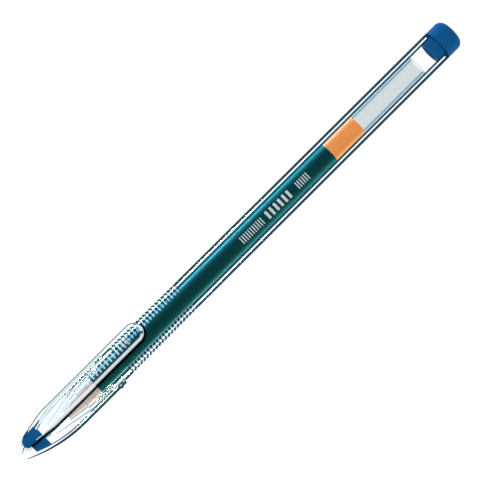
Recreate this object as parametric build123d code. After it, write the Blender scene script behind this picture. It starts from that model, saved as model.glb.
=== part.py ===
"""Capped gel pen: clear barrel and cap, threaded nose, ink refill, tail plug.

The pen lies along X, and +X points to the writing end, where the cap closes. While a piece is
drawn, a station is its distance in millimetres from the cap's closed end, so it lies at
X = -station, the pen's axis is the X axis, and the clip is on top. The finished pen is then
rolled onto its bead and the clip's edge, as it comes to rest on a table, and moved so that the
origin is at the middle of its footprint, on the table.
"""

import os
from math import cos, pi, sqrt

from build123d import *

# ---- driving dimensions, in millimetres ------------------------------------------------------
ROLL = 110.5            # degrees that the resting pen is rolled about +X from clip up

# Fits.
RUN = 0.05              # running clearance between pieces that slide or turn
PRESS = 0.01            # clearance drawn for a press fit

# Cap's closed end and its seal.
CAP_END_WALL = 2.7
CAP_END_R = 1.10
CAP_TAPER = 16.0        # length of the tapered end
SEAL_LENGTH = 3.89
SEAL_FLOOR = 2.55       # from the end wall to the bottom of the pocket
SEAL_POCKET_R = 1.45
SEAL_RUN = 0.04         # round the point

# Writing tip.
BALL_R = 0.35
BALL_PLAY = 0.02        # round the ball in its socket
TIP_R = 1.15
TIP_FRONT_R = 0.42
TIP_CONE = 2.8
TIP_LENGTH = 12.2
TIP_BORE_R = 0.55
CAPILLARY_R = 0.22
CAPILLARY_LENGTH = 0.7
SPRING_WIRE_R = 0.06
SPRING_PITCH = 0.75
SPRING_TURNS = 9
PIN_R = 0.10

# Refill.
TUBE_R = 2.80
TUBE_WALL = 0.40
TAIL_ROOM = 7.1         # from the tube's rear end to the barrel's
INK_LENGTH = 81.2       # from the tube's front end
FOLLOWER_LENGTH = 9.9
MENISCUS = 0.6          # how far the ink's rear surface bulges into the follower
FOLLOWER_DISH = 0.35    # how far the follower's rear surface is hollowed
SPIGOT_LENGTH = 1.8     # holder inside the tube
SPIGOT_WALL = 0.62
HOLDER_LEAD = 4.8       # from the nose's front to the holder's
HOLDER_CONE = 5.5
HOLDER_BODY = 4.7
HOLDER_STEP = 0.42      # from the cone's rear radius to the body's
HOLDER_INSET = 0.08     # how much slimmer the body is than the tube
HOLDER_FRONT_R = 1.60
HOLDER_GROOVE = 3.4     # from the body's front
HOLDER_GROOVE_WIDTH = 0.35
HOLDER_GROOVE_DEPTH = 0.15
CHANNEL_R = 0.90

# Nose and its thread.
TIP_EXPOSED = 3.9       # how far the metal tip stands out of the nose
NOSE_FRONT_R = 1.75
NOSE_LENGTH = 12.5      # outside the barrel
NOSE_EDGE = 0.35        # rounding of the front edge
NOSE_SHOULDER = 1.2     # straight stretch beside the barrel
NOSE_INSET = 0.15       # how much slimmer the nose is than the barrel's neck
NOSE_WALL_RUN = 0.12    # round the holder
NOSE_SPIGOT = 5.3
NOSE_SPIGOT_WALL = 0.45
THREAD_LEAD = 0.9       # from the barrel's front to the first turn
THREAD_PITCH = 1.0
THREAD_DEPTH = 0.20
THREAD_HALF = 0.34      # half the ridge's width at its root
THREAD_TURNS = 3.5
THREAD_RUN = 0.06       # round the thread

# Barrel.
BARREL_LENGTH = 121.8
BARREL_WALL = 1.05
BORE_GAP = 0.32         # round the refill's tube
NECK_LENGTH = 8.7
NECK_WALL = 0.39        # outside the thread
SNAP_SETBACK = 2.6      # from the cap's lip
SNAP_WIDTH = 0.8
SNAP_HEIGHT = 0.17
COLLAR_STEP = 0.18      # how much larger the collar is than the barrel
COLLAR_LENGTH = 2.4
RING_PITCH = 1.05
RING_COUNT = 23
RING_DEPTH = 0.24
RING_SHARE = 0.62       # of the pitch that is groove
REAR_EDGE = 0.15

# Tail plug.
PLUG_LENGTH = 5.5       # outside the barrel
PLUG_STEP = 0.04        # how much slimmer the plug is than the barrel
PLUG_SPIGOT = 2.7
PLUG_SPIGOT_WALL = 0.9
PLUG_GAP = 0.05
PLUG_EDGE = 1.9
PLUG_CROWN = 0.35
PLUG_HOLLOW = 3.6       # depth of the hollow, from the plug's inner end
PLUG_GROOVE = 3.15      # from the barrel's rear
PLUG_GROOVE_WIDTH = 0.25
PLUG_GROOVE_DEPTH = 0.12
VENT_R = 0.5

# Cap's body.
CAP_RUN = 0.07          # round the barrel's neck
CAP_WALL = 0.88
CAP_GAP = 0.2           # between the cap's lip and the collar
MOUTH_RUN = 0.10        # round the neck's snap ring
MOUTH_DEPTH = 4.4
LIP_EDGE = 0.15
BEAD_HEIGHT = 0.23
BEAD_WIDTH = 1.2
BEAD_SETBACK = 1.0

# Clip.
CLIP_CLEAR = 0.70       # between the clip and the cap
CLIP_THICK = 1.35
CLIP_HALF = 2.95
CLIP_ROOT_HALF = 1.75
CLIP_OVERHANG = 12.2    # past the cap's lip
CLIP_RAMP = 10.5        # where the outer face levels out
CLIP_FRONT = 1.05
CLIP_FRONT_DROP = 1.5   # how much lower the outer face starts
CLIP_EDGE = 0.40        # rounding of the outer edges
WEB_HALF = 1.70
WEB_END = 17.6
CLIP_GAP = 0.05         # drawn between the fixed root and the springing arm
NUB_R = 2.6
NUB_HALF = 1.5
NUB_GAP = 0.22          # between the nub and the grip's widest ring
NUB_SETBACK = 3.1
GROOVE_COUNT = 6
GROOVE_PITCH = 1.2
GROOVE_WIDTH = 0.6
GROOVE_HALF = 1.25
GROOVE_DEPTH = 0.25
GROOVE_END = 5.6        # from the clip's free end to the last groove

# ---- stations that follow, from the cap's closed end -----------------------------------------
POINT = CAP_END_WALL + PRESS + SEAL_FLOOR + SEAL_RUN    # the ball's outermost point
SEAL_REAR = CAP_END_WALL + PRESS + SEAL_LENGTH
TIP_REAR = POINT + TIP_LENGTH
NOSE_FRONT = POINT + TIP_EXPOSED
HOLDER_FRONT = NOSE_FRONT + HOLDER_LEAD
HOLDER_SHOULDER = HOLDER_FRONT + HOLDER_CONE
TUBE_FRONT = HOLDER_SHOULDER + HOLDER_BODY
BARREL_FRONT = NOSE_FRONT + NOSE_LENGTH                 # where nose and barrel meet
COLLAR_FRONT = BARREL_FRONT + NECK_LENGTH
CAP_LIP = COLLAR_FRONT - CAP_GAP
RING_START = COLLAR_FRONT + COLLAR_LENGTH
GRIP_END = RING_START + RING_PITCH * RING_COUNT
BARREL_REAR = BARREL_FRONT + BARREL_LENGTH
OVERALL = BARREL_REAR + PLUG_LENGTH
TUBE_REAR = BARREL_REAR - TAIL_ROOM
INK_REAR = TUBE_FRONT + INK_LENGTH
FOLLOWER_REAR = INK_REAR + FOLLOWER_LENGTH
CLIP_END = CAP_LIP + CLIP_OVERHANG
THREAD_START = BARREL_FRONT + THREAD_LEAD

# ---- radii that follow, from the refill outwards ---------------------------------------------
TUBE_BORE_R = TUBE_R - TUBE_WALL
FILL_R = TUBE_BORE_R - PRESS
HOLDER_BODY_R = TUBE_R - HOLDER_INSET
HOLDER_NECK_R = HOLDER_BODY_R - HOLDER_STEP
NOSE_BORE_R = TUBE_R + RUN
THREAD_ROOT_R = NOSE_BORE_R + NOSE_SPIGOT_WALL
NECK_R = THREAD_ROOT_R + THREAD_RUN + THREAD_DEPTH + NECK_WALL
NOSE_REAR_R = NECK_R - NOSE_INSET
SNAP_R = NECK_R + SNAP_HEIGHT
BORE_R = TUBE_R + BORE_GAP
BARREL_R = BORE_R + BARREL_WALL
COLLAR_R = BARREL_R + COLLAR_STEP
PLUG_R = BARREL_R - PLUG_STEP
CAP_BORE_R = NECK_R + CAP_RUN
MOUTH_R = SNAP_R + MOUTH_RUN
CAP_R = CAP_BORE_R + CAP_WALL
BEAD_R = CAP_R + BEAD_HEIGHT
CLIP_TOP = CAP_R + CLIP_CLEAR + CLIP_THICK              # outer face, from the axis
# The taper is an arc that is tangent to the cap's side and ends at its flat end.
TAPER_ARC = (CAP_TAPER**2 + (CAP_R - CAP_END_R) ** 2) / (2 * (CAP_R - CAP_END_R))


def taper_radius(station, inset=0.0):
    """Radius of the cap's tapered end, or of a surface parallel to it, at a station."""
    return sqrt((TAPER_ARC - inset) ** 2 - (CAP_TAPER - station) ** 2) + CAP_R - TAPER_ARC


def at(station, radius):
    """The point of a profile at a station and a radius."""
    return (-station, radius)


def turned(*edges):
    """The solid that a closed profile sweeps about the pen's axis."""
    return revolve(make_face(edges), Axis.X)


def turned_outline(points):
    """The solid that a profile of straight lines sweeps about the pen's axis."""
    return turned(*Polyline(*[at(*p) for p in points], close=True).edges())


def outline(points):
    """The edges of an open run of straight lines."""
    return Polyline(*[at(*p) for p in points]).edges()


def bulge(start, middle, end):
    """The edge of one arc through three (station, radius) points."""
    return ThreePointArc(at(*start), at(*middle), at(*end)).edges()


def taper_arc(front, rear, inset=0.0):
    """The arc of the cap's taper between two stations."""
    stations = (front, (front + rear) / 2, rear)
    return bulge(*[(s, taper_radius(s, inset)) for s in stations])


# ---- cap -------------------------------------------------------------------------------------
def clip_top(station):
    """Height of the clip's outer face above the axis, on its ramp or beyond it."""
    share = min(1.0, max(0.0, (station - CLIP_FRONT) / (CLIP_RAMP - CLIP_FRONT)))
    return CLIP_TOP - CLIP_FRONT_DROP * (1 - share) ** 2


def clip_plate():
    """The whole clip plate, with rounded long edges, before it is parted into root and arm."""
    ramp = [CLIP_FRONT, (CLIP_FRONT + CLIP_RAMP) / 2, CLIP_RAMP]
    top = [(-s, clip_top(s)) for s in ramp]
    under = [(x, z - CLIP_THICK) for x, z in top]
    side = make_face(
        [
            ThreePointArc(*top),
            *Polyline(
                top[-1], (-CLIP_END, CLIP_TOP), (-CLIP_END, CLIP_TOP - CLIP_THICK), under[-1]
            ).edges(),
            ThreePointArc(*reversed(under)),
            Line(under[0], top[0]),
        ]
    )
    slab = extrude(Plane.XZ * side, CLIP_HALF + 1, both=True)
    nose = CLIP_FRONT + CLIP_ROOT_HALF
    tail = CLIP_END - CLIP_HALF
    plan = make_face(
        [
            ThreePointArc((-nose, -CLIP_ROOT_HALF), (-CLIP_FRONT, 0), (-nose, CLIP_ROOT_HALF)),
            Line((-nose, CLIP_ROOT_HALF), (-CLIP_RAMP, CLIP_HALF)),
            Line((-CLIP_RAMP, CLIP_HALF), (-tail, CLIP_HALF)),
            ThreePointArc((-tail, CLIP_HALF), (-CLIP_END, 0), (-tail, -CLIP_HALF)),
            Line((-tail, -CLIP_HALF), (-CLIP_RAMP, -CLIP_HALF)),
            Line((-CLIP_RAMP, -CLIP_HALF), (-nose, -CLIP_ROOT_HALF)),
        ]
    )
    plate = slab & extrude(plan, CLIP_TOP + 1)
    return fillet(plate.edges().filter_by(is_outer_edge), CLIP_EDGE)


def is_outer_edge(edge):
    """Whether an edge of the clip plate runs round its outer face."""
    ends = (edge.start_point(), edge.end_point())
    across = abs(ends[0].Y - ends[1].Y) > 2 * CLIP_ROOT_HALF + 0.1 and edge.length < 2 * CLIP_HALF + 0.1
    return not across and all(abs(end.Z - clip_top(-end.X)) < 0.01 for end in ends)


def span(first, last):
    """A block that holds everything between two stations."""
    length = last - first
    return Pos(-(first + last) / 2, 0, 0) * Box(length, 60, 60)


def clip_arm(plate):
    """The springing arm: its nub rides over the barrel, and its face has a row of grooves."""
    arm = plate & span(WEB_END + CLIP_GAP, OVERALL)
    nub_station = CLIP_END - NUB_SETBACK
    nub_low = COLLAR_R + NUB_GAP
    nub = Pos(-nub_station, 0, nub_low + NUB_R) * Rot(90, 0, 0) * Cylinder(NUB_R, 2 * NUB_HALF)
    under = CLIP_TOP - CLIP_THICK
    middle = CLIP_TOP - CLIP_THICK / 2
    nub &= Pos(-nub_station, 0, middle - 5) * Box(4 * NUB_R, 4 * NUB_HALF, 10)
    arm += nub
    last = CLIP_END - GROOVE_END
    for i in range(GROOVE_COUNT):
        station = last - i * GROOVE_PITCH
        slot = SlotOverall(2 * GROOVE_HALF, GROOVE_WIDTH, rotation=90)
        arm -= Pos(-station, 0, CLIP_TOP - GROOVE_DEPTH) * extrude(slot, 1)
    return arm


def cap_shell(plate):
    """Clear cap with a tapered closed end, a bead near its lip, and the clip's fixed root."""
    bead = CAP_LIP - BEAD_SETBACK
    outside = turned(
        *outline([(CAP_TAPER, CAP_R), (bead - BEAD_WIDTH, CAP_R)]),
        *bulge(
            (bead - BEAD_WIDTH, CAP_R), (bead - BEAD_WIDTH / 2, BEAD_R), (bead, CAP_R)
        ),
        *outline(
            [(bead, CAP_R), (CAP_LIP - LIP_EDGE, CAP_R), (CAP_LIP, CAP_R - LIP_EDGE),
             (CAP_LIP, 0), (0, 0), (0, CAP_END_R)]
        ),
        *taper_arc(0, CAP_TAPER),
    )
    web_side = make_face(
        Polyline(
            (-0.1, 0), (-0.1, 2.0), (-CLIP_FRONT - 0.3, clip_top(CLIP_FRONT) - 0.5),
            (-WEB_END, CLIP_TOP - CLIP_THICK / 2), (-WEB_END, 0), close=True,
        )
    )
    web = extrude(Plane.XZ * web_side, WEB_HALF + 1, both=True)
    web_middle = (WEB_END + 0.1) / 2
    web_plan = Pos(-web_middle, 0) * SlotOverall(WEB_END - 0.1, 2 * WEB_HALF)
    web &= extrude(web_plan, 2 * CLIP_TOP)
    body = outside + web + (plate & span(0, WEB_END))
    mouth = CAP_LIP - MOUTH_DEPTH
    hollow = turned(
        *taper_arc(CAP_END_WALL, CAP_TAPER, CAP_WALL),
        *outline(
            [(CAP_TAPER, CAP_BORE_R), (mouth, CAP_BORE_R), (mouth + 0.3, MOUTH_R),
             (CAP_LIP + 1, MOUTH_R), (CAP_LIP + 1, 0), (CAP_END_WALL, 0),
             (CAP_END_WALL, taper_radius(CAP_END_WALL, CAP_WALL))]
        ),
    )
    return body - hollow


def cap_seal():
    """Soft coloured insert in the cap's closed end, with a pocket that closes on the ball."""
    front = CAP_END_WALL + PRESS
    inset = CAP_WALL + PRESS
    floor = POINT - SEAL_RUN
    return turned(
        *taper_arc(front, SEAL_REAR, inset),
        *outline(
            [(SEAL_REAR, taper_radius(SEAL_REAR, inset)), (SEAL_REAR, SEAL_POCKET_R),
             (floor, TIP_FRONT_R + SEAL_RUN), (floor, 0), (front, 0),
             (front, taper_radius(front, inset))]
        ),
    )


# ---- writing tip -----------------------------------------------------------------------------
def ball():
    """The rolling ball."""
    return Pos(-(POINT + BALL_R), 0, 0) * Sphere(BALL_R)


def writing_tip():
    """Turned metal tip: cone, ink channel, capillary and the ball's socket."""
    face = POINT + BALL_R * 0.6
    centre = POINT + BALL_R
    cone_end = face + TIP_CONE
    seat = centre + BALL_R + CAPILLARY_LENGTH
    body = turned_outline(
        [(face, 0), (face, TIP_FRONT_R), (cone_end, TIP_R), (TIP_REAR, TIP_R), (TIP_REAR, 0)]
    )
    channel = turned_outline(
        [(centre, 0), (centre, CAPILLARY_R), (seat, CAPILLARY_R), (seat + 0.4, TIP_BORE_R),
         (TIP_REAR + 1, TIP_BORE_R), (TIP_REAR + 1, 0)]
    )
    return body - channel - Pos(-centre, 0, 0) * Sphere(BALL_R + BALL_PLAY)


def tip_spring():
    """Fine coil spring whose straight pin presses on the back of the ball."""
    pin_front = POINT + 2 * BALL_R + BALL_PLAY
    coil_front = pin_front + CAPILLARY_LENGTH + 0.8
    coil_r = TIP_BORE_R - SPRING_WIRE_R - RUN
    height = SPRING_PITCH * SPRING_TURNS
    path = Helix(SPRING_PITCH, height, coil_r)
    section = RegularPolygon(SPRING_WIRE_R, 8)
    wire = sweep(Plane(path @ 0, z_dir=path % 0) * section, path=path)
    coil = Pos(-coil_front, 0, 0) * Rot(0, -90, 0) * wire
    pin = turned_outline(
        [(pin_front, 0), (pin_front, PIN_R), (coil_front, PIN_R), (coil_front, coil_r + 0.02),
         (coil_front + 0.12, coil_r + 0.02), (coil_front + 0.12, 0)]
    )
    return coil + pin


# ---- refill ----------------------------------------------------------------------------------
def tip_holder():
    """Natural plastic holder that joins the metal tip to the refill's tube."""
    rear = TUBE_FRONT + SPIGOT_LENGTH
    groove = HOLDER_SHOULDER + HOLDER_GROOVE
    groove_end = groove + HOLDER_GROOVE_WIDTH
    floor_r = HOLDER_BODY_R - HOLDER_GROOVE_DEPTH
    body = turned_outline(
        [(HOLDER_FRONT, 0), (HOLDER_FRONT, HOLDER_FRONT_R),
         (HOLDER_SHOULDER - 0.2, HOLDER_NECK_R), (HOLDER_SHOULDER, HOLDER_BODY_R),
         (groove, HOLDER_BODY_R), (groove, floor_r), (groove_end, floor_r),
         (groove_end, HOLDER_BODY_R),
         (TUBE_FRONT - PRESS, HOLDER_BODY_R), (TUBE_FRONT - PRESS, FILL_R), (rear, FILL_R),
         (rear, 0)]
    )
    bore = turned_outline(
        [(HOLDER_FRONT - 1, 0), (HOLDER_FRONT - 1, TIP_R + PRESS), (TIP_REAR + PRESS, TIP_R + PRESS),
         (TIP_REAR + PRESS, CHANNEL_R), (TUBE_FRONT, CHANNEL_R),
         (TUBE_FRONT + 0.4, FILL_R - SPIGOT_WALL), (rear + 1, FILL_R - SPIGOT_WALL), (rear + 1, 0)]
    )
    return body - bore


def refill_tube():
    """Long translucent tube that holds the ink, open at the rear."""
    return turned_outline(
        [(TUBE_FRONT, TUBE_BORE_R), (TUBE_FRONT, TUBE_R), (TUBE_REAR, TUBE_R),
         (TUBE_REAR, TUBE_BORE_R)]
    )


def ink():
    """The gel ink, from the holder's channel to its domed rear surface."""
    spigot_end = TUBE_FRONT + SPIGOT_LENGTH + PRESS
    inner = FILL_R - SPIGOT_WALL - PRESS
    return turned(
        *outline(
            [(INK_REAR + MENISCUS, 0), (TIP_REAR + 0.05, 0), (TIP_REAR + 0.05, CHANNEL_R - PRESS),
             (TUBE_FRONT + PRESS, CHANNEL_R - PRESS), (TUBE_FRONT + 0.4 + PRESS, inner),
             (spigot_end, inner), (spigot_end, FILL_R), (INK_REAR, FILL_R)]
        ),
        *bulge_to_axis(INK_REAR, MENISCUS),
    )


def bulge_to_axis(station, rise):
    """Half of a domed surface, from the tube's wall to the axis, rising towards the tail."""
    ball_r = (FILL_R**2 + rise**2) / (2 * rise)
    half = FILL_R / 2
    middle = station + rise - (ball_r - sqrt(ball_r**2 - half**2))
    return bulge((station, FILL_R), (middle, half), (station + rise, 0))


def follower():
    """Clear grease that follows the ink down the tube and keeps it from drying."""
    front = INK_REAR + PRESS
    return turned(
        *bulge_to_axis(front, MENISCUS),
        *outline([(front + MENISCUS, 0), (FOLLOWER_REAR - FOLLOWER_DISH, 0)]),
        *dish(FOLLOWER_REAR, FOLLOWER_DISH),
        *outline([(FOLLOWER_REAR, FILL_R), (front, FILL_R)]),
    )


def dish(station, depth):
    """Half of a hollowed surface, from the tube's wall to the axis."""
    ball_r = (FILL_R**2 + depth**2) / (2 * depth)
    half = FILL_R / 2
    middle = station - depth + (ball_r - sqrt(ball_r**2 - half**2))
    return bulge((station, FILL_R), (middle, half), (station - depth, 0))


# ---- nose and barrel -------------------------------------------------------------------------
def thread(radius, depth, width, front, turns):
    """A helical ridge of triangular section, with its base sunk below the radius."""
    path = Helix(THREAD_PITCH, THREAD_PITCH * turns, radius)
    sunk = 0.08
    section = Plane(path @ 0, x_dir=(1, 0, 0), z_dir=path % 0) * make_face(
        Polyline((-sunk, -width), (depth, -width / 4), (depth, width / 4), (-sunk, width), close=True)
    )
    ridge = sweep(section, path=path, is_frenet=True)
    return Pos(-front, 0, 0) * Rot(0, -90, 0) * ridge


def nose():
    """Clear conical nose that screws into the barrel and holds the refill."""
    rear = BARREL_FRONT + NOSE_SPIGOT
    body = turned(
        *outline([(NOSE_FRONT, 0), (NOSE_FRONT, NOSE_FRONT_R - NOSE_EDGE)]),
        *bulge(
            (NOSE_FRONT, NOSE_FRONT_R - NOSE_EDGE),
            (NOSE_FRONT + NOSE_EDGE * (1 - cos(pi / 4)), NOSE_FRONT_R - NOSE_EDGE * (1 - cos(pi / 4))),
            (NOSE_FRONT + NOSE_EDGE, NOSE_FRONT_R),
        ),
        *outline(
            [(NOSE_FRONT + NOSE_EDGE, NOSE_FRONT_R), (BARREL_FRONT - NOSE_SHOULDER, NOSE_REAR_R),
             (BARREL_FRONT - RUN, NOSE_REAR_R), (BARREL_FRONT - RUN, THREAD_ROOT_R),
             (rear, THREAD_ROOT_R), (rear, 0), (NOSE_FRONT, 0)]
        ),
    )
    neck = HOLDER_NECK_R + NOSE_WALL_RUN
    front = HOLDER_FRONT - NOSE_WALL_RUN
    shoulder = HOLDER_SHOULDER - 0.3
    hollow = turned_outline(
        [(NOSE_FRONT - 1, 0), (NOSE_FRONT - 1, TIP_R + RUN), (front, TIP_R + RUN),
         (front, HOLDER_FRONT_R + NOSE_WALL_RUN), (shoulder, neck), (shoulder, NOSE_BORE_R),
         (rear + 1, NOSE_BORE_R), (rear + 1, 0)]
    )
    ridge = thread(THREAD_ROOT_R, THREAD_DEPTH, THREAD_HALF, THREAD_START, THREAD_TURNS)
    return body - hollow + ridge


def ring_groove(i):
    """One shallow finger groove, shallower towards the rear: its two ends and its floor."""
    share = i / (RING_COUNT - 1)
    start = RING_START + RING_PITCH * (i + (1 - RING_SHARE) / 2)
    end = start + RING_PITCH * RING_SHARE
    depth = RING_DEPTH * (1 - 0.8 * share**2)
    return (start, grip_radius(start)), ((start + end) / 2, grip_radius(start) - depth), (
        end, grip_radius(end))


def grip_radius(station):
    """The grip narrows evenly from the collar to the barrel."""
    share = (station - RING_START) / (GRIP_END - RING_START)
    return COLLAR_R + (BARREL_R - COLLAR_R) * share


def barrel():
    """Clear barrel with a threaded neck for the nose, a finger grip of rings, and an open rear."""
    snap = (CAP_LIP - SNAP_SETBACK, CAP_LIP - SNAP_SETBACK + SNAP_WIDTH)
    edges = [
        *outline([(BARREL_FRONT, 0), (BARREL_FRONT, NECK_R), (snap[0], NECK_R)]),
        *bulge((snap[0], NECK_R), (sum(snap) / 2, SNAP_R), (snap[1], NECK_R)),
        *outline([(snap[1], NECK_R), (COLLAR_FRONT, NECK_R), (COLLAR_FRONT, COLLAR_R)]),
    ]
    last = (COLLAR_FRONT, COLLAR_R)
    for i in range(RING_COUNT):
        start, floor, end = ring_groove(i)
        edges += [*outline([last, start]), *bulge(start, floor, end)]
        last = end
    edges += outline(
        [last, (GRIP_END, BARREL_R), (BARREL_REAR - REAR_EDGE, BARREL_R),
         (BARREL_REAR, BARREL_R - REAR_EDGE), (BARREL_REAR, 0), (BARREL_FRONT, 0)]
    )
    thread_r = THREAD_ROOT_R + THREAD_RUN
    step = BARREL_FRONT + NOSE_SPIGOT + 0.3
    bore = turned_outline(
        [(BARREL_FRONT - 1, 0), (BARREL_FRONT - 1, thread_r), (step, thread_r),
         (step, BORE_R), (BARREL_REAR + 1, BORE_R), (BARREL_REAR + 1, 0)]
    )
    groove_start = THREAD_START - 2 * THREAD_PITCH
    groove = thread(
        thread_r, THREAD_DEPTH, THREAD_HALF + THREAD_RUN, groove_start, THREAD_TURNS + 2.25
    )
    return turned(*edges) - bore - groove


def tail_plug():
    """Coloured plug pressed into the barrel's rear: hollow, vented, with a crowned end."""
    flange = BARREL_REAR + PLUG_GAP
    spigot_r = BORE_R - PRESS
    spigot = BARREL_REAR - PLUG_SPIGOT
    groove = BARREL_REAR + PLUG_GROOVE
    edge = OVERALL - PLUG_CROWN - PLUG_EDGE
    turn = PLUG_EDGE * (1 - cos(pi / 4))
    crown_r = PLUG_R - PLUG_EDGE
    middle_r = (crown_r + VENT_R) / 2
    body = turned(
        *outline(
            [(spigot, 0.0), (spigot, spigot_r - 0.2), (spigot + 0.2, spigot_r),
             (flange, spigot_r), (flange, PLUG_R),
             (groove, PLUG_R), (groove + PLUG_GROOVE_WIDTH / 2, PLUG_R - PLUG_GROOVE_DEPTH),
             (groove + PLUG_GROOVE_WIDTH, PLUG_R), (edge, PLUG_R)]
        ),
        *bulge(
            (edge, PLUG_R), (edge + PLUG_EDGE - turn, PLUG_R - turn), (edge + PLUG_EDGE, crown_r)
        ),
        *bulge(
            (edge + PLUG_EDGE, crown_r),
            (OVERALL - PLUG_CROWN * (middle_r / crown_r) ** 2, middle_r),
            (OVERALL, VENT_R),
        ),
        *outline([(OVERALL, VENT_R), (OVERALL, 0), (spigot, 0)]),
    )
    hollow_r = spigot_r - PLUG_SPIGOT_WALL
    hollow = turned_outline(
        [(spigot - 1, 0), (spigot - 1, hollow_r), (spigot + PLUG_HOLLOW, hollow_r),
         (spigot + PLUG_HOLLOW + 0.5, VENT_R), (OVERALL + 1, VENT_R), (OVERALL + 1, 0)]
    )
    return body - hollow


def main():
    """Draws every piece, moves the pen to its frame and writes one STEP file per piece."""
    plate = clip_plate()
    pieces = {
        "cap_shell": cap_shell(plate),
        "clip_arm": clip_arm(plate),
        "cap_seal": cap_seal(),
        "nose_cone": nose(),
        "barrel": barrel(),
        "tail_plug": tail_plug(),
        "refill_tube": refill_tube(),
        "ink": ink(),
        "ink_follower": follower(),
        "tip_holder": tip_holder(),
        "writing_tip": writing_tip(),
        "tip_spring": tip_spring(),
        "ball": ball(),
    }
    lying = {name: Rot(ROLL, 0, 0) * piece for name, piece in pieces.items()}
    box = Compound(list(lying.values())).bounding_box()
    home = Pos(-box.center().X, -box.center().Y, -box.min.Z)
    print(f"axis at y {-box.center().Y:.4f}, z {-box.min.Z:.4f}; station 0 at x {-box.center().X:.4f}")
    os.makedirs("parts", exist_ok=True)
    for name, piece in lying.items():
        export_step(home * piece, f"parts/{name}.step")


main()
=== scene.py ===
"""Capped gel pen lying on a white floor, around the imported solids.

Stations are distances in millimetres from the cap's closed end, and heights and radii are in
millimetres from the pen's axis, as on a drawing of the pen. point() turns them into metres.
The solids of the barrel, nose, plug, seal, tube, holder and tip stay. The cap, its clip, the ink
and the follower are drawn here in their place, and the print on the barrel is added.
"""

import math

import bmesh
import bpy
from mathutils import Matrix, Vector


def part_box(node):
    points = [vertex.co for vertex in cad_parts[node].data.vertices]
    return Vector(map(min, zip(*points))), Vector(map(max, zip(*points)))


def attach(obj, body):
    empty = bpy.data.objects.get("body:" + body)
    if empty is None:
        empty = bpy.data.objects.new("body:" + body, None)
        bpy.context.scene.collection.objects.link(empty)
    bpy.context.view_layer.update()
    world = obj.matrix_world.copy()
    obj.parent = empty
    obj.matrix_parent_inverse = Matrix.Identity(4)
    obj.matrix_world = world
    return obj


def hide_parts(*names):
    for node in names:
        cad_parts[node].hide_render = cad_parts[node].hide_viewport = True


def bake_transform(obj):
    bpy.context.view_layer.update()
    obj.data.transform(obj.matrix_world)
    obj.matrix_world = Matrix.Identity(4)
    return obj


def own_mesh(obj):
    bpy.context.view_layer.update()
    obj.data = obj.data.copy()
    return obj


MM = 0.001
MERGE = 0.0005              # millimetres within which a drawn piece's points become one

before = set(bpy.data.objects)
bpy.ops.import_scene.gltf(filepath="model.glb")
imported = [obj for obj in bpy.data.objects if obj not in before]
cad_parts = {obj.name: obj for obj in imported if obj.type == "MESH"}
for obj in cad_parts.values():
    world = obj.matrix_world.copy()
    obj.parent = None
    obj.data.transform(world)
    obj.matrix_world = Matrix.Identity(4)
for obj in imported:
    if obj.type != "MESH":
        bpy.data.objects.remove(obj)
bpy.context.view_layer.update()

# ---- places, from the frame ---------------------------------------------------------------------
BARREL_LOW, BARREL_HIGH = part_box("barrel")
AXIS_Y = (BARREL_LOW.y + BARREL_HIGH.y) / 2
AXIS_Z = (BARREL_LOW.z + BARREL_HIGH.z) / 2
CAP_END_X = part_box("cap_shell")[1].x
ROLL = math.radians(110.5)                      # of the resting pen, from clip up
TO_CLIP = Vector((0.0, -math.sin(ROLL), math.cos(ROLL)))
ACROSS = Vector((0.0, math.cos(ROLL), math.sin(ROLL)))


def point(station, across=0.0, height=0.0):
    """The place of a station, a distance across the clip and a height towards the clip."""
    axis = Vector((CAP_END_X - station * MM, AXIS_Y, AXIS_Z))
    return axis + (ACROSS * across + TO_CLIP * height) * MM


# ---- sizes of the drawn pieces, in millimetres; a name with HALF is half a width -----------------
# cap
CAP_R = 4.90
CAP_WALL = 0.88
CAP_TAPER = 16.0            # length of the tapered end
CAP_END_R = 1.10            # of the flat closed end
CAP_END_WALL = 2.7
CAP_END_EDGE = 0.15         # rounding of the closed end, and how much it widens there
CAP_END_FLARE = 0.05
CAP_ARC_START = 0.4         # where that rounding runs into the taper
CAP_LIP = 30.2
CAP_LIP_EDGE = 0.15
CAP_MOUTH_R = 4.22
CAP_MOUTH_DEPTH = 4.4
CAP_MOUTH_STEP = 0.3        # length of the cone between the mouth and the bore
BEAD_HEIGHT = 0.23
BEAD_WIDTH = 1.2
BEAD_SETBACK = 1.0          # from the cap's lip
# clip
CLIP_TOP = 6.95
CLIP_THICK = 1.35
CLIP_HALF = 2.95
CLIP_ROOT_HALF = 1.75
CLIP_END = 42.4
CLIP_RAMP = 10.5            # where the outer face levels out
CLIP_FRONT = 1.05
CLIP_FRONT_DROP = 1.5       # how much lower the outer face starts
CLIP_EDGE = 0.55            # rounding of the outer edges
CLIP_FOOT = 0.12            # rounding of the edges towards the cap
CLIP_DARK_START = 3.0       # station from which the rounded edges look dark
CLIP_HIGHLIGHT_BAND = 0.6           # width of the painted highlight, a milky white band inside the rounded edges
WEB_START = 0.45
WEB_END = 17.6
WEB_HALF = 1.70
WEB_SUNK = 0.35             # below the cap's surface
WEB_NOSE = 1.0              # stretch behind the clip's front over which the web's top comes down
WEB_SLOPE = 0.3             # fall of the web's top over that stretch, per millimetre
EMBED = 0.1                 # how far a piece runs into the clip that carries it
NUB_STATION = 39.3
NUB_R = 2.6
NUB_LOW = 4.57              # the nub's lowest height above the axis
NUB_HALF = 1.5
ROOT_START = 1.5            # stretch of the clip's root that shows the seal's blue
ROOT_END = 6.4
ROOT_HALF = 1.5
ROOT_COVER = 0.25           # clear plastic above the blue
ROOT_UNDER = 0.15           # clear plastic below it
PANEL_START = 8.0
PANEL_END = 17.2
PANEL_HALF = 1.85
PANEL_HEIGHT = 0.06
PANEL_BEVEL = 0.08
RIB_COUNT = 11
RIB_PITCH = 1.2
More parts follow.
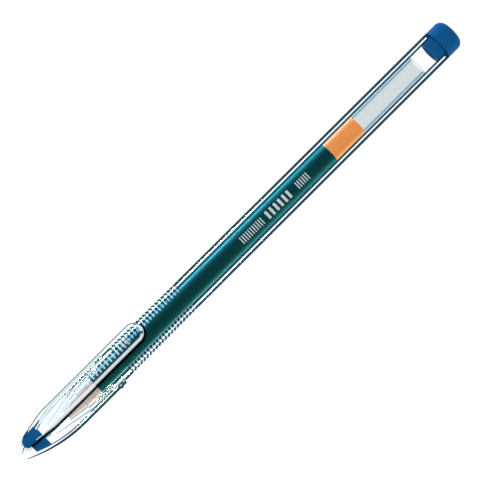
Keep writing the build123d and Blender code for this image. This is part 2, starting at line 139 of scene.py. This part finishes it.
RIB_END = 37.0              # station of the rib that is nearest the clip's end
RIB_WIDTH = 0.4
RIB_HALF = 1.25
RIB_HEIGHT = 0.12
# ink and follower
TUBE_FRONT = 24.2
TUBE_R = 2.80
COLUMN_R = TUBE_R - 0.05    # the tube's wall magnifies what fills its bore to nearly its own width
INK_REAR = 105.4
FOLLOWER_REAR = 115.3
MENISCUS = 0.6              # how far the ink's rear surface bulges into the follower
FOLLOWER_DISH = 0.35        # how far the follower's rear surface is hollowed
INK_GAP = 0.02              # between the tube's front end and the ink
FOLLOWER_GAP = 0.03         # between the ink and the follower
# barrel
BARREL_R = 4.17
GRIP_START = 32.9
GRIP_END = 57.1
GRIP_PLAIN_BAND = (-0.40, 0.62)  # shares of the radius, in height, between which the grooves stay plain; beyond it they get painted highlight and painted shade
PRINT_START = 74.2
PRINT_LOW = 0.003           # the film of print, above the barrel's surface
PRINT_HIGH = 0.015
PRINT_MIDDLE = 2.0          # degrees above the side that faces front
PRINT_THIN = (0.28, 0.42, 1.0)      # a bar's width, the gap after it and its half height
PRINT_THIN_LAST = (0.28, 1.52, 1.0)
PRINT_WIDE = (0.70, 0.75, 1.1)
PRINT_WIDE_LAST = (0.70, 2.50, 1.1)
PRINT_BARS = (
    [PRINT_THIN] * 10 + [PRINT_THIN_LAST] + [PRINT_WIDE] * 5 + [PRINT_WIDE_LAST] + [PRINT_THIN] * 6
)

# The taper is an arc that is tangent to the cap's side and ends at its flat end.
TAPER_ARC = (CAP_TAPER**2 + (CAP_R - CAP_END_R) ** 2) / (2 * (CAP_R - CAP_END_R))


def taper_radius(station, inset=0.0):
    """Radius of the cap's tapered end, or of a surface parallel to it, at a station."""
    return math.sqrt((TAPER_ARC - inset) ** 2 - (CAP_TAPER - station) ** 2) + CAP_R - TAPER_ARC


# ---- mesh helpers -------------------------------------------------------------------------------
def steps(first, last, count):
    """Evenly spaced values, both ends included."""
    return [first + (last - first) * i / count for i in range(count + 1)]


def mesh_object(name, vertices, faces, sharp=35.0):
    """A smooth-shaded mesh object whose edges are sharp above an angle in degrees."""
    mesh = bpy.data.meshes.new(name)
    mesh.from_pydata([tuple(v) for v in vertices], [], faces)
    work = bmesh.new()
    work.from_mesh(mesh)
    bmesh.ops.remove_doubles(work, verts=work.verts, dist=MERGE * MM)
    bmesh.ops.recalc_face_normals(work, faces=work.faces)
    work.to_mesh(mesh)
    work.free()
    mesh.shade_smooth()
    mesh.set_sharp_from_angle(angle=math.radians(sharp))
    piece = bpy.data.objects.new(name, mesh)
    bpy.context.scene.collection.objects.link(piece)
    return piece


def lathe(name, profile, segments=96, sharp=35.0):
    """A closed solid of revolution about the pen's axis from a closed (station, radius) profile."""
    vertices = []
    for i in range(segments):
        turn = 2 * math.pi * i / segments
        vertices += [point(s, r * math.sin(turn), r * math.cos(turn)) for s, r in profile]
    count = len(profile)
    faces = []
    for i in range(segments):
        here, there = i * count, (i + 1) % segments * count
        for j in range(count):
            k = (j + 1) % count
            faces.append((here + j, here + k, there + k, there + j))
    return mesh_object(name, vertices, faces, sharp)


# ---- node helpers -------------------------------------------------------------------------------
def new_material(name):
    """A material with an empty node tree, and that tree."""
    material = bpy.data.materials.new(name)
    material.use_nodes = True
    material.node_tree.nodes.clear()
    return material, material.node_tree


def add(tree, kind, **values):
    """A node of a kind, with its named inputs set; an underscore stands for a space."""
    node = tree.nodes.new(kind)
    for name, value in values.items():
        node.inputs[name.replace("_", " ")].default_value = value
    return node


def rgb(red, green, blue):
    """A colour with full alpha."""
    return (red, green, blue, 1.0)


def feed(tree, stops, source, target):
    """Feeds an input with (position, colour) stops of a socket; a single value is set as it is."""
    if not isinstance(stops, list):
        target.default_value = stops
        return
    node = tree.nodes.new("ShaderNodeValToRGB")
    elements = node.color_ramp.elements
    while len(elements) < len(stops):
        elements.new(0.5)
    for element, (position, colour) in zip(elements, stops):
        element.position = position
        element.color = colour
    tree.links.new(source, node.inputs["Fac"])
    tree.links.new(node.outputs["Color"], target)


def finish_tree(tree, shader):
    """Connects a shader to the material's output."""
    output = tree.nodes.new("ShaderNodeOutputMaterial")
    tree.links.new(shader, output.inputs["Surface"])


def dress(node, material):
    """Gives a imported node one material."""
    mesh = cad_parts[node].data
    mesh.materials.clear()
    mesh.materials.append(material)


# Shares of a face's normal that sort the faces of a piece
INWARD = -0.1               # away from the axis: below it a face is an inner wall
FLANK = 0.25                # along the pen: above it a face is a groove's flank
FLAT = 0.97                 # towards the clip: above it a face is one of the clip's two flat faces


def another(mesh, material):
    """Adds a material to a mesh and gives its index there."""
    mesh.materials.append(material)
    return len(mesh.materials) - 1


def away_from_axis(face):
    """The direction from the pen's axis to a face."""
    return (face.center - Vector((face.center.x, AXIS_Y, AXIS_Z))).normalized()


def dress_shell(mesh, outside, inside):
    """Gives a hollow round piece one material outside and another where it faces the pen's axis."""
    mesh.materials.clear()
    outer = another(mesh, outside)
    inner = another(mesh, inside)
    for face in mesh.polygons:
        inward = face.normal.dot(away_from_axis(face)) < INWARD
        face.material_index = inner if inward else outer


def dress_barrel():
    """The barrel's walls, its neck under the cap, and its grip, with painted highlight and painted
    shade on its groove flanks.
    """
    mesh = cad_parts["barrel"].data
    dress_shell(mesh, OUTSIDE, INSIDE)
    light = another(mesh, RING_PAINTED_HIGHLIGHT)
    dark = another(mesh, RING_PAINTED_SHADE)
    neck = another(mesh, NECK)
    # Outside the plain band, grip flanks that face the cap get a painted highlight and the other
    # flanks painted shade.
    for face in mesh.polygons:
        on_grip = point(GRIP_END).x < face.center.x < point(GRIP_START).x
        on_outside = face.material_index == 0
        in_plain_band = GRIP_PLAIN_BAND[0] < away_from_axis(face).z < GRIP_PLAIN_BAND[1]
        on_flank = abs(face.normal.x) > FLANK
        if face.center.x > point(CAP_LIP).x:
            face.material_index = neck
        elif on_grip and on_outside and on_flank and not in_plain_band:
            face.material_index = light if face.normal.x > 0 else dark


# ---- materials ----------------------------------------------------------------------------------
def math_node(tree, operation, source, *values):
    """The result of a math node on a socket and up to two numbers."""
    node = tree.nodes.new("ShaderNodeMath")
    node.operation = operation
    tree.links.new(source, node.inputs[0])
    for i, value in enumerate(values):
        node.inputs[i + 1].default_value = value
    return node.outputs[0]


def mixed(tree, first, second):
    """A node that mixes two shaders."""
    mix = tree.nodes.new("ShaderNodeMixShader")
    tree.links.new(first, mix.inputs[1])
    tree.links.new(second, mix.inputs[2])
    return mix


VEIL_WHITE = rgb(0.86, 0.90, 0.92)
VEIL_PAINTED_GLOW = 0.6             # painted glow of the veil, in place of light that frosted plastic lets through and in the painted highlights
GRAIN_SCALE = 900.0         # unevenness of solid plastic, per metre
GRAIN_STRENGTH = 0.04
GRAIN_DEPTH = 0.02          # millimetres
SCATTER = 0.5               # millimetres that light travels inside the follower's grease
INK_BODY = 0.85             # how much of the ink's colour is body and not light let through


def clear_plastic(name, tint, least=0.01, most=0.35, roughness=0.05, veil=None):
    """Clear plastic, tinted by a colour or by stops of how far it is turned from square on.

    Its gloss grows from least by most in the same way. A veil is a white layer with a painted glow,
    a share or stops: milkiness on frosted plastic, a painted highlight on the grip and clip.
    """
    material, tree = new_material(name)
    facing = add(tree, "ShaderNodeLayerWeight", Blend=0.5).outputs["Facing"]
    through = tree.nodes.new("ShaderNodeBsdfTransparent")
    feed(tree, tint, facing, through.inputs["Color"])
    shader = through.outputs[0]
    if veil:
        veil_shader = add(tree, "ShaderNodeBsdfPrincipled", Roughness=1.0, Base_Color=VEIL_WHITE)
        # Painted glow in the veil's own white.
        veil_shader.inputs["Emission Color"].default_value = VEIL_WHITE
        veil_shader.inputs["Emission Strength"].default_value = VEIL_PAINTED_GLOW
        mix = mixed(tree, shader, veil_shader.outputs[0])
        feed(tree, veil, facing, mix.inputs["Fac"])
        shader = mix.outputs[0]
    if most:
        gloss = add(tree, "ShaderNodeBsdfGlossy", Roughness=roughness, Color=rgb(1.0, 1.0, 1.0))
        share = math_node(tree, "POWER", facing, 4.0)
        share = math_node(tree, "MULTIPLY_ADD", share, most, least)
        mix = mixed(tree, shader, gloss.outputs[0])
        tree.links.new(share, mix.inputs["Fac"])
        shader = mix.outputs[0]
    finish_tree(tree, shader)
    return material


def solid_plastic(name, colour, roughness, subsurface=0.0, shine=0.1, painted_glow=0.0):
    """Plastic or grease with a faint unevenness in its gloss; its glow is a painted glow in its own
    colour, in place of light let through and of light the lamps don't bring.
    """
    material, tree = new_material(name)
    shader = add(tree, "ShaderNodeBsdfPrincipled", Roughness=roughness, IOR=1.5, Base_Color=colour)
    shader.inputs["Specular IOR Level"].default_value = shine
    shader.inputs["Subsurface Weight"].default_value = subsurface
    shader.inputs["Subsurface Scale"].default_value = SCATTER * MM
    # Painted glow: emission in the piece's own colour that brightens it evenly.
    shader.inputs["Emission Color"].default_value = colour
    shader.inputs["Emission Strength"].default_value = painted_glow
    noise = add(tree, "ShaderNodeTexNoise", Scale=GRAIN_SCALE, Detail=3.0)
    place = tree.nodes.new("ShaderNodeTexCoord")
    tree.links.new(place.outputs["Object"], noise.inputs["Vector"])
    bump = add(tree, "ShaderNodeBump", Strength=GRAIN_STRENGTH, Distance=GRAIN_DEPTH * MM)
    tree.links.new(noise.outputs["Fac"], bump.inputs["Height"])
    tree.links.new(bump.outputs["Normal"], shader.inputs["Normal"])
    finish_tree(tree, shader.outputs["BSDF"])
    return material


def metal(name, colour, roughness, purity=1.0):
    """Turned or polished metal; one that is less pure is paler in dim surroundings."""
    material, tree = new_material(name)
    shader = add(tree, "ShaderNodeBsdfPrincipled", Roughness=roughness, Base_Color=colour)
    shader.inputs["Metallic"].default_value = purity
    finish_tree(tree, shader.outputs["BSDF"])
    return material


def grey(level):
    """A neutral colour."""
    return rgb(level, level, level)


WALL = rgb(0.985, 0.99, 0.992)
TEAL = rgb(0.01, 0.21, 0.27)
DEEP_TEAL = rgb(0.0, 0.04, 0.06)
OUTSIDE = clear_plastic("clear_outside", [(0.0, WALL), (0.43, WALL), (0.50, TEAL), (1.0, TEAL)])
INSIDE = clear_plastic("clear_inside", [(0.0, WALL), (0.42, WALL), (0.53, TEAL)], most=0.0)
CAP_OUTSIDE = clear_plastic("cap_outside", [(0.0, WALL), (0.47, WALL), (0.55, TEAL)])
CAP_INSIDE = clear_plastic("cap_inside", [(0.0, WALL), (0.55, WALL), (0.68, TEAL)], most=0.0)
# Painted highlight and painted shade for the grip's groove flanks: a milky white with a painted
# glow, and a darker teal.
RING_PAINTED_HIGHLIGHT = clear_plastic("ring_painted_highlight", WALL, least=0.1, veil=0.55)
RING_PAINTED_SHADE = clear_plastic("ring_painted_shade", rgb(0.12, 0.35, 0.42), least=0.02)
NECK = clear_plastic("clear_neck", [(0.0, WALL), (0.5, WALL), (0.8, rgb(0.3, 0.5, 0.55))], most=0.1)
PLATE = clear_plastic("clear_plate", [(0.0, WALL), (0.5, WALL), (0.9, TEAL)], most=0.2)
PLATE_EDGE = clear_plastic("clear_edge", [(0.0, WALL), (0.04, WALL), (0.10, DEEP_TEAL)], most=0.0)
# Painted highlight: a milky white band with a painted glow, inside the clip's rounded edges.
PLATE_PAINTED_HIGHLIGHT = clear_plastic("clear_painted_highlight", WALL, most=0.1, veil=0.65)
FROST = clear_plastic("clear_frost", rgb(0.93, 0.96, 0.98), least=0.02, veil=0.32)
WEB = clear_plastic("clear_web", rgb(0.95, 0.97, 0.975), most=0.0)
TUBE_OUTSIDE = clear_plastic(
    "refill_outside",
    [(0.0, rgb(0.89, 0.895, 0.90)), (0.5, rgb(0.86, 0.89, 0.90)), (0.8, rgb(0.50, 0.66, 0.72))],
    least=0.004,
    most=0.05,
    roughness=0.2,
    veil=[(0.0, grey(0.0)), (0.7, grey(0.02))],
)
TUBE_INSIDE = clear_plastic(
    "refill_inside",
    [(0.0, rgb(0.90, 0.91, 0.915)), (0.33, rgb(0.88, 0.90, 0.91)), (0.48, rgb(0.50, 0.66, 0.72))],
    most=0.0,
)
# These take part of their brightness from a painted glow; the blue plug and seal take most of theirs
# from it.
BLUE = solid_plastic("blue_plastic", rgb(0.0, 0.045, 0.13), 0.12, shine=0.3, painted_glow=1.2)
FOLLOWER = solid_plastic("follower_grease", rgb(1.0, 0.34, 0.09), 0.3, subsurface=0.3, painted_glow=0.45)
HOLDER = solid_plastic("natural_plastic", rgb(0.92, 0.70, 0.66), 0.4, painted_glow=0.15)
STEEL = metal("steel", rgb(0.85, 0.85, 0.87), 0.35, purity=0.5)
BALL = metal("ball_steel", rgb(0.8, 0.8, 0.82), 0.06)
PRINT = solid_plastic("white_print", rgb(0.70, 0.84, 0.88), 0.5, painted_glow=0.12)


def gel_ink():
    """Teal gel: glassy, so light that crosses less of it comes out brighter, with some body."""
    material, tree = new_material("gel_ink")
    facing = add(tree, "ShaderNodeLayerWeight", Blend=0.5).outputs["Facing"]
    through = tree.nodes.new("ShaderNodeBsdfTransparent")
    stops = [(0.03, rgb(0.0, 0.10, 0.11)), (0.25, rgb(0.0, 0.42, 0.52)), (0.6, rgb(0.0, 0.66, 0.78))]
    feed(tree, stops, facing, through.inputs["Color"])
    body = add(tree, "ShaderNodeBsdfDiffuse", Color=rgb(0.0, 0.40, 0.42))
    mix = mixed(tree, through.outputs[0], body.outputs[0])
    mix.inputs["Fac"].default_value = INK_BODY
    finish_tree(tree, mix.outputs[0])
    return material


INK = gel_ink()

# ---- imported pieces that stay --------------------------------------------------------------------
dress_barrel()
dress("nose_cone", NECK)
dress_shell(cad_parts["refill_tube"].data, TUBE_OUTSIDE, TUBE_INSIDE)
dress("tail_plug", BLUE)
dress("cap_seal", BLUE)
dress("tip_holder", HOLDER)
dress("writing_tip", STEEL)
dress("tip_spring", STEEL)
dress("ball", BALL)


# ---- cap ----------------------------------------------------------------------------------------
def arc_points(first, last, inset=0.0, count=24):
    """Points of the cap's taper between two stations."""
    return [(s, taper_radius(s, inset)) for s in steps(first, last, count)]


def cap_body():
    """The clear cap without its clip: tapered end, bead, lip and mouth."""
    bead_start = CAP_LIP - BEAD_SETBACK - BEAD_WIDTH
    bead = [
        (bead_start + BEAD_WIDTH * t, CAP_R + BEAD_HEIGHT * math.sin(math.pi * t))
        for t in steps(0.0, 1.0, 10)
    ]
    mouth = CAP_LIP - CAP_MOUTH_DEPTH
    bore = CAP_R - CAP_WALL
    profile = (
        [(0.0, 0.0), (0.0, CAP_END_R - CAP_END_EDGE), (CAP_END_EDGE, CAP_END_R + CAP_END_FLARE)]
        + arc_points(CAP_ARC_START, CAP_TAPER)
        + bead
        + [(CAP_LIP - CAP_LIP_EDGE, CAP_R), (CAP_LIP, CAP_R - CAP_LIP_EDGE), (CAP_LIP, CAP_MOUTH_R)]
        + [(mouth + CAP_MOUTH_STEP, CAP_MOUTH_R), (mouth, bore)]
        + list(reversed(arc_points(CAP_END_WALL, CAP_TAPER, CAP_WALL)))
        + [(CAP_END_WALL, 0.0)]
    )
    piece = lathe("cap_body", profile, sharp=28.0)
    dress_shell(piece.data, CAP_OUTSIDE, CAP_INSIDE)
    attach(piece, "cap")
    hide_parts("cap_shell")


def clip_top(station):
    """Height of the clip's outer face above the axis, on its ramp or beyond it."""
    share = min(1.0, max(0.0, (station - CLIP_FRONT) / (CLIP_RAMP - CLIP_FRONT)))
    return CLIP_TOP - CLIP_FRONT_DROP * (1 - share) ** 2


def clip_outline():
    """Half of the clip's plan, front to end: (station, across, normal) at each point."""
    nose = CLIP_FRONT + CLIP_ROOT_HALF
    tail = CLIP_END - CLIP_HALF
    widening = CLIP_HALF - CLIP_ROOT_HALF
    points = []
    for turn in steps(0.0, math.pi / 2, 10):
        points.append((nose - CLIP_ROOT_HALF * math.cos(turn), CLIP_ROOT_HALF * math.sin(turn)))
    for t in steps(0.0, 1.0, 8)[1:]:
        points.append((nose + (CLIP_RAMP - nose) * t, CLIP_ROOT_HALF + widening * t))
    points += [(s, CLIP_HALF) for s in steps(CLIP_RAMP, tail, 48)[1:]]
    for turn in steps(math.pi / 2, 0.0, 16)[1:]:
        points.append((tail + CLIP_HALF * math.cos(turn), CLIP_HALF * math.sin(turn)))
    outline = []
    for i, here in enumerate(points):
        before = points[i - 1] if i else (here[0], -points[1][1])
        after = points[i + 1] if i + 1 < len(points) else (here[0], -points[-2][1])
        along = Vector((after[0] - before[0], after[1] - before[1])).normalized()
        outline.append((here[0], here[1], Vector((-along.y, along.x))))
    return outline


def slab(name, outline, levels, top, bottom):
    """A solid over a half plan and its mirror image, between two heights given by station.

    Each level is a ring of it: how far inside the plan, at which share of the way from bottom to
    top, and how far above that.
    """
    vertices = []
    faces = []
    rings = []
    for inset, share, lift in levels:
        ring = []
        for side in (1, -1):
            row = []
            for station, across, normal in outline:
                s = station - normal.x * inset
                t = across - normal.y * inset
                low, high = bottom(station), top(station)
                height = low + (high - low) * share + lift
                row.append(len(vertices))
                vertices.append(point(s, side * t, height))
            ring.append(row)
        rings.append(ring)
    for lower, upper in zip(rings, rings[1:]):
        for a, b in zip(lower, upper):
            for i in range(len(a) - 1):
                faces.append((a[i], a[i + 1], b[i + 1], b[i]))
    for ring in (rings[0], rings[-1]):
        left, right = ring
        for i in range(len(left) - 1):
            faces.append((left[i], left[i + 1], right[i + 1], right[i]))
    return mesh_object(name, vertices, faces, sharp=25.0)


def edge_levels(radius, foot, count=5):
    """Levels of a slab whose top edge and foot are rounded."""
    levels = [
        (foot * (1 - math.sin(a)), 0.0, foot * (1 - math.cos(a)))
        for a in steps(0.0, math.pi / 2, 3)
    ]
    levels += [
        (radius * (1 - math.cos(a)), 1.0, -radius * (1 - math.sin(a)))
        for a in steps(0.0, math.pi / 2, count)
    ]
    return levels


def cap_clip():
    """The clip, root and arm in one."""
    highlight_inside = CLIP_EDGE + CLIP_HIGHLIGHT_BAND
    piece = slab(
        "cap_clip",
        clip_outline(),
        edge_levels(CLIP_EDGE, CLIP_FOOT) + [(highlight_inside, 1.0, 0.0)],
        clip_top,
        lambda s: clip_top(s) - CLIP_THICK,
    )
    mesh = piece.data
    plain = another(mesh, PLATE)
    edge = another(mesh, PLATE_EDGE)
    painted_band = another(mesh, PLATE_PAINTED_HIGHLIGHT)
    # The top band inside the rounded edges and the top of the rounded end get the painted highlight.
    for face in mesh.polygons:
        upright = face.normal.dot(TO_CLIP)
        off_middle = abs((face.center - point(0.0)).dot(ACROSS)) > CLIP_HALF / 2 * MM
        past_middle = face.center.x < point(CLIP_END - highlight_inside).x
        if abs(upright) < FLAT:
            dark = face.center.x < point(CLIP_DARK_START).x
            face.material_index = edge if dark else plain
        elif upright > 0 and (off_middle or past_middle):
            face.material_index = painted_band
    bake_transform(piece)
    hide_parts("clip_arm")


def stadium(first, last, half, around=10, along=14):
    """Half of a round-ended bar's plan between two stations, in clip_outline's form."""
    outline = []
    for turn in steps(0.0, math.pi / 2, around):
        normal = Vector((-math.cos(turn), math.sin(turn)))
        outline.append((first + half + half * normal.x, half * normal.y, normal))
    for station in steps(first + half, last - half, along)[1:]:
        outline.append((station, half, Vector((0.0, 1.0))))
    for turn in steps(math.pi / 2, 0.0, around)[1:]:
        normal = Vector((math.cos(turn), math.sin(turn)))
        outline.append((last - half + half * normal.x, half * normal.y, normal))
    return outline


def web():
    """The block that joins the clip to the cap."""

    def foot(station):
        return taper_radius(min(station, CAP_TAPER)) - WEB_SUNK

    def head(station):
        forward = max(0.0, CLIP_FRONT + WEB_NOSE - station)
        return clip_top(station) - CLIP_THICK + EMBED - WEB_SLOPE * forward

    outline = stadium(WEB_START, WEB_END, WEB_HALF)
    piece = slab("clip_web", outline, [(0.0, 0.0, 0.0), (0.0, 1.0, 0.0)], head, foot)
    piece.data.materials.append(WEB)
    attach(piece, "cap")


def clip_panel():
    """The frosted panel at the clip's root."""
    outline = stadium(PANEL_START, PANEL_END, PANEL_HALF)
    levels = [(0.0, 0.0, 0.0), (0.0, 0.6, 0.0), (PANEL_BEVEL, 1.0, 0.0)]
    piece = slab("clip_panel", outline, levels, lambda s: clip_top(s) + PANEL_HEIGHT, clip_top)
    piece.data.materials.append(FROST)
    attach(piece, "cap")


def clip_ribs():
    """A row of low ribs across the clip's face, where a thumb pushes."""
    forward = Vector((-1.0, 0.0))
    for i in range(RIB_COUNT):
        front = RIB_END - RIB_PITCH * i - RIB_WIDTH / 2
        rear = front + RIB_WIDTH
        outline = [
            (front, 0.0, forward),
            (front, RIB_HALF, forward),
            (rear, RIB_HALF, -forward),
            (rear, 0.0, -forward),
        ]
        levels = [(0.0, 0.0, 0.0), (RIB_HEIGHT, 1.0, 0.0)]
        piece = slab(f"clip_rib_{i}", outline, levels, lambda s: clip_top(s) + RIB_HEIGHT, clip_top)
        piece.data.materials.append(FROST)
        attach(piece, "clip")


def clip_nub():
    """The nub under the clip's end, a piece of a cylinder that bears on the cloth of a pocket."""
    top = clip_top(NUB_STATION) - CLIP_THICK + EMBED
    centre = NUB_LOW + NUB_R
    spread = math.acos((centre - top) / NUB_R)
    turns = steps(-spread, spread, 12)
    vertices = [
        point(NUB_STATION + NUB_R * math.sin(turn), side, centre - NUB_R * math.cos(turn))
        for side in (-NUB_HALF, NUB_HALF)
        for turn in turns
    ]
    first = list(range(len(turns)))
    second = [i + len(turns) for i in first]
    faces = [first, second, (first[0], second[0], second[-1], first[-1])]
    for i in first[:-1]:
        faces.append((first[i], first[i + 1], second[i + 1], second[i]))
    piece = mesh_object("clip_nub", vertices, faces, sharp=25.0)
    piece.data.materials.append(WEB)
    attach(piece, "clip")


def seal_through_clip():
    """A blue slab in the clip's root, a painted image of the seal's blue as the thick root carries
    it to its face.
    """
    rounded = stadium(ROOT_START, ROOT_END + ROOT_HALF, ROOT_HALF)
    outline = [place for place in rounded if place[0] < ROOT_END]
    backward = Vector((1.0, 0.0))
    outline += [(ROOT_END, ROOT_HALF, backward), (ROOT_END, 0.0, backward)]
    piece = slab(
        "seal_through_clip",
        outline,
        [(0.1, 0.0, 0.0), (0.0, 0.2, 0.0), (0.0, 1.0, 0.0)],
        lambda s: clip_top(s) - ROOT_COVER,
        lambda s: clip_top(s) - CLIP_THICK + ROOT_UNDER,
    )
    piece.data.materials.append(BLUE)
    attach(piece, "cap")


cap_body()
cap_clip()
web()
seal_through_clip()
clip_panel()
clip_ribs()
clip_nub()


# ---- ink and follower ---------------------------------------------------------------------------
def dome(station, rise):
    """Points of a surface that is domed by a rise, from the tube's wall to the axis."""
    turns = steps(math.pi / 2, 0.0, 10)
    return [(station + rise * math.cos(turn), COLUMN_R * math.sin(turn)) for turn in turns]


def ink_column():
    """The ink in the tube, with a domed rear."""
    front = TUBE_FRONT + INK_GAP
    profile = [(front, 0.0), (front, COLUMN_R)] + dome(INK_REAR, MENISCUS)
    piece = lathe("ink_column", profile)
    piece.data.materials.append(INK)
    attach(piece, "refill")
    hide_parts("ink")
    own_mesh(piece)
    return piece


def follower_column():
    """The grease behind the ink, hollowed at its rear."""
    front = dome(INK_REAR + FOLLOWER_GAP, MENISCUS)
    rear = dome(FOLLOWER_REAR, -FOLLOWER_DISH)
    piece = lathe("follower_column", list(reversed(front)) + rear)
    piece.data.materials.append(FOLLOWER)
    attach(piece, "follower")
    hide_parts("ink_follower")


INK_COLUMN = ink_column()
follower_column()


# ---- print on the barrel ------------------------------------------------------------------------
def print_mark(name, first, last, half):
    """A film of print between two stations, round the side of the barrel that faces front."""
    low = BARREL_R + PRINT_LOW
    high = BARREL_R + PRINT_HIGH
    section = [(first, low), (last, low), (last, high), (first, high)]
    count = 8
    vertices = []
    for height in steps(-half, half, count):
        turn = math.radians(PRINT_MIDDLE) + height / BARREL_R
        out = Vector((0.0, -math.cos(turn), math.sin(turn))) * MM
        vertices += [point(station) + out * radius for station, radius in section]
    faces = [(0, 1, 2, 3), tuple(4 * count + i for i in range(4))]
    for i in range(0, 4 * count, 4):
        for j in range(4):
            k = (j + 1) % 4
            faces.append((i + j, i + k, i + 4 + k, i + 4 + j))
    piece = mesh_object(name, vertices, faces)
    piece.data.materials.append(PRINT)
    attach(piece, "barrel")


def prints():
    """Plain bars of several widths, in place of any lettering."""
    station = PRINT_START
    for i, (width, gap, half) in enumerate(PRINT_BARS):
        print_mark(f"print_{i}", station, station + width, half)
        station += width + gap


prints()

# ---- camera -------------------------------------------------------------------------------------
FIELD = 118.15 * MM         # width of the view at the pen
AIM = point(74.5) - Vector((0.0, 0.0, 0.35 * MM))      # a little below the pen's middle
AZIMUTH = math.radians(5.0)
ELEVATION = math.radians(0.5)
TWIST = math.radians(224.9)
LENS = 200.0
SENSOR = 36.0


def add_camera():
    """The camera, rolled so that the pen runs from lower left to upper right."""
    data = bpy.data.cameras.new("camera")
    data.lens = LENS
    data.sensor_width = SENSOR
    data.clip_start = 0.01
    camera = bpy.data.objects.new("camera", data)
    bpy.context.scene.collection.objects.link(camera)
    level = Vector((math.cos(AZIMUTH), math.sin(AZIMUTH), 0.0))
    back = Vector((math.sin(AZIMUTH), -math.cos(AZIMUTH), 0.0)) * math.cos(ELEVATION)
    back.z = math.sin(ELEVATION)
    upright = back.cross(level)
    right = level * math.cos(TWIST) - upright * math.sin(TWIST)
    up = level * math.sin(TWIST) + upright * math.cos(TWIST)
    turn = Matrix((right, up, back)).transposed().to_4x4()
    camera.matrix_world = Matrix.Translation(AIM + back * (FIELD / SENSOR * LENS)) @ turn
    bpy.context.scene.camera = camera


add_camera()


# ---- stage and light ----------------------------------------------------------------------------
WHITE = grey(1.0)
FLOOR_SIZE = 3.0            # metres
FLOOR_LEAN = math.radians(0.48)     # from the bead down to the tail
FLOOR_DROP = 0.02 * MM      # below the pen, so that the two don't touch
FLOOR_GLOW = 1.05           # keeps it white without shadows
SEEN = 1.12                 # brightness of the surroundings to the eye and through clear walls
AMBIENT = 0.15              # as light
GLOSS = 0.25                # in gloss
# name, degrees round the pen downwards from the front, strength, width in degrees, colour
SUNS = (
    ("below", 110.0, 5.2, 12.0, (0.5, 1.0, 1.35)),
    ("above", -112.0, 2.8, 8.0, (0.8, 1.0, 0.85)),
    ("face", 10.0, 1.4, 60.0, (1.0, 1.0, 1.0)),
)


def add_floor():
    """White floor under the resting pen, which touches it with its bead and its tail."""
    bead = point(CAP_LIP - BEAD_SETBACK - BEAD_WIDTH / 2)
    bpy.ops.mesh.primitive_plane_add(
        size=FLOOR_SIZE, location=(bead.x, 0.0, -FLOOR_DROP), rotation=(0.0, FLOOR_LEAN, 0.0)
    )
    floor = bpy.context.object
    floor.name = "floor"
    material, tree = new_material("floor")
    shader = add(tree, "ShaderNodeBsdfPrincipled", Roughness=1.0, Base_Color=grey(0.1))
    shader.inputs["Specular IOR Level"].default_value = 0.0
    shader.inputs["Emission Color"].default_value = WHITE
    shader.inputs["Emission Strength"].default_value = FLOOR_GLOW
    finish_tree(tree, shader.outputs["BSDF"])
    floor.data.materials.append(material)
    floor.visible_glossy = False
    floor.visible_diffuse = False
    floor.visible_shadow = False


def add_world():
    """Surroundings that are white to the eye and dimmer as light and in gloss."""
    world = bpy.data.worlds.new("studio")
    bpy.context.scene.world = world
    world.use_nodes = True
    tree = world.node_tree
    tree.nodes.clear()
    path = tree.nodes.new("ShaderNodeLightPath")
    seen = add(tree, "ShaderNodeBackground", Strength=SEEN, Color=WHITE)
    soft = add(tree, "ShaderNodeBackground", Strength=AMBIENT, Color=WHITE)
    dim = add(tree, "ShaderNodeBackground", Strength=GLOSS, Color=rgb(0.8, 0.95, 1.0))
    lit = mixed(tree, seen.outputs[0], soft.outputs[0])
    tree.links.new(path.outputs["Is Diffuse Ray"], lit.inputs["Fac"])
    lit = mixed(tree, lit.outputs[0], dim.outputs[0])
    tree.links.new(path.outputs["Is Glossy Ray"], lit.inputs["Fac"])
    output = tree.nodes.new("ShaderNodeOutputWorld")
    tree.links.new(lit.outputs[0], output.inputs["Surface"])


def add_sun(name, turn, strength, width, colour):
    """A distant light at a turn round the pen."""
    data = bpy.data.lights.new(name, "SUN")
    data.energy = strength
    data.angle = math.radians(width)
    data.color = colour
    sun = bpy.data.objects.new(name, data)
    bpy.context.scene.collection.objects.link(sun)
    angle = math.radians(turn)
    away = Vector((0.0, -math.cos(angle), -math.sin(angle)))
    along = Vector((1.0, 0.0, 0.0))
    sun.matrix_world = Matrix((along, away.cross(along), away)).transposed().to_4x4()
    return sun


def keep_off(sun, piece):
    """Stops a light from reaching one piece."""
    receivers = bpy.data.collections.new(sun.name + "_receivers")
    receivers.objects.link(piece)
    receivers.collection_objects[0].light_linking.link_state = "EXCLUDE"
    sun.light_linking.receiver_collection = receivers


def add_light():
    """Two narrow lights from the sides, and a broad one from the front that leaves no glint."""
    face = [add_sun(*row) for row in SUNS][-1]
    face.visible_glossy = False
    keep_off(face, INK_COLUMN)      # the ink is lit from the sides only, so it is darkest in front


add_floor()
add_world()
add_light()
scene = bpy.context.scene
scene.view_settings.view_transform = "Standard"
scene.cycles.max_bounces = 16
scene.cycles.transparent_max_bounces = 48
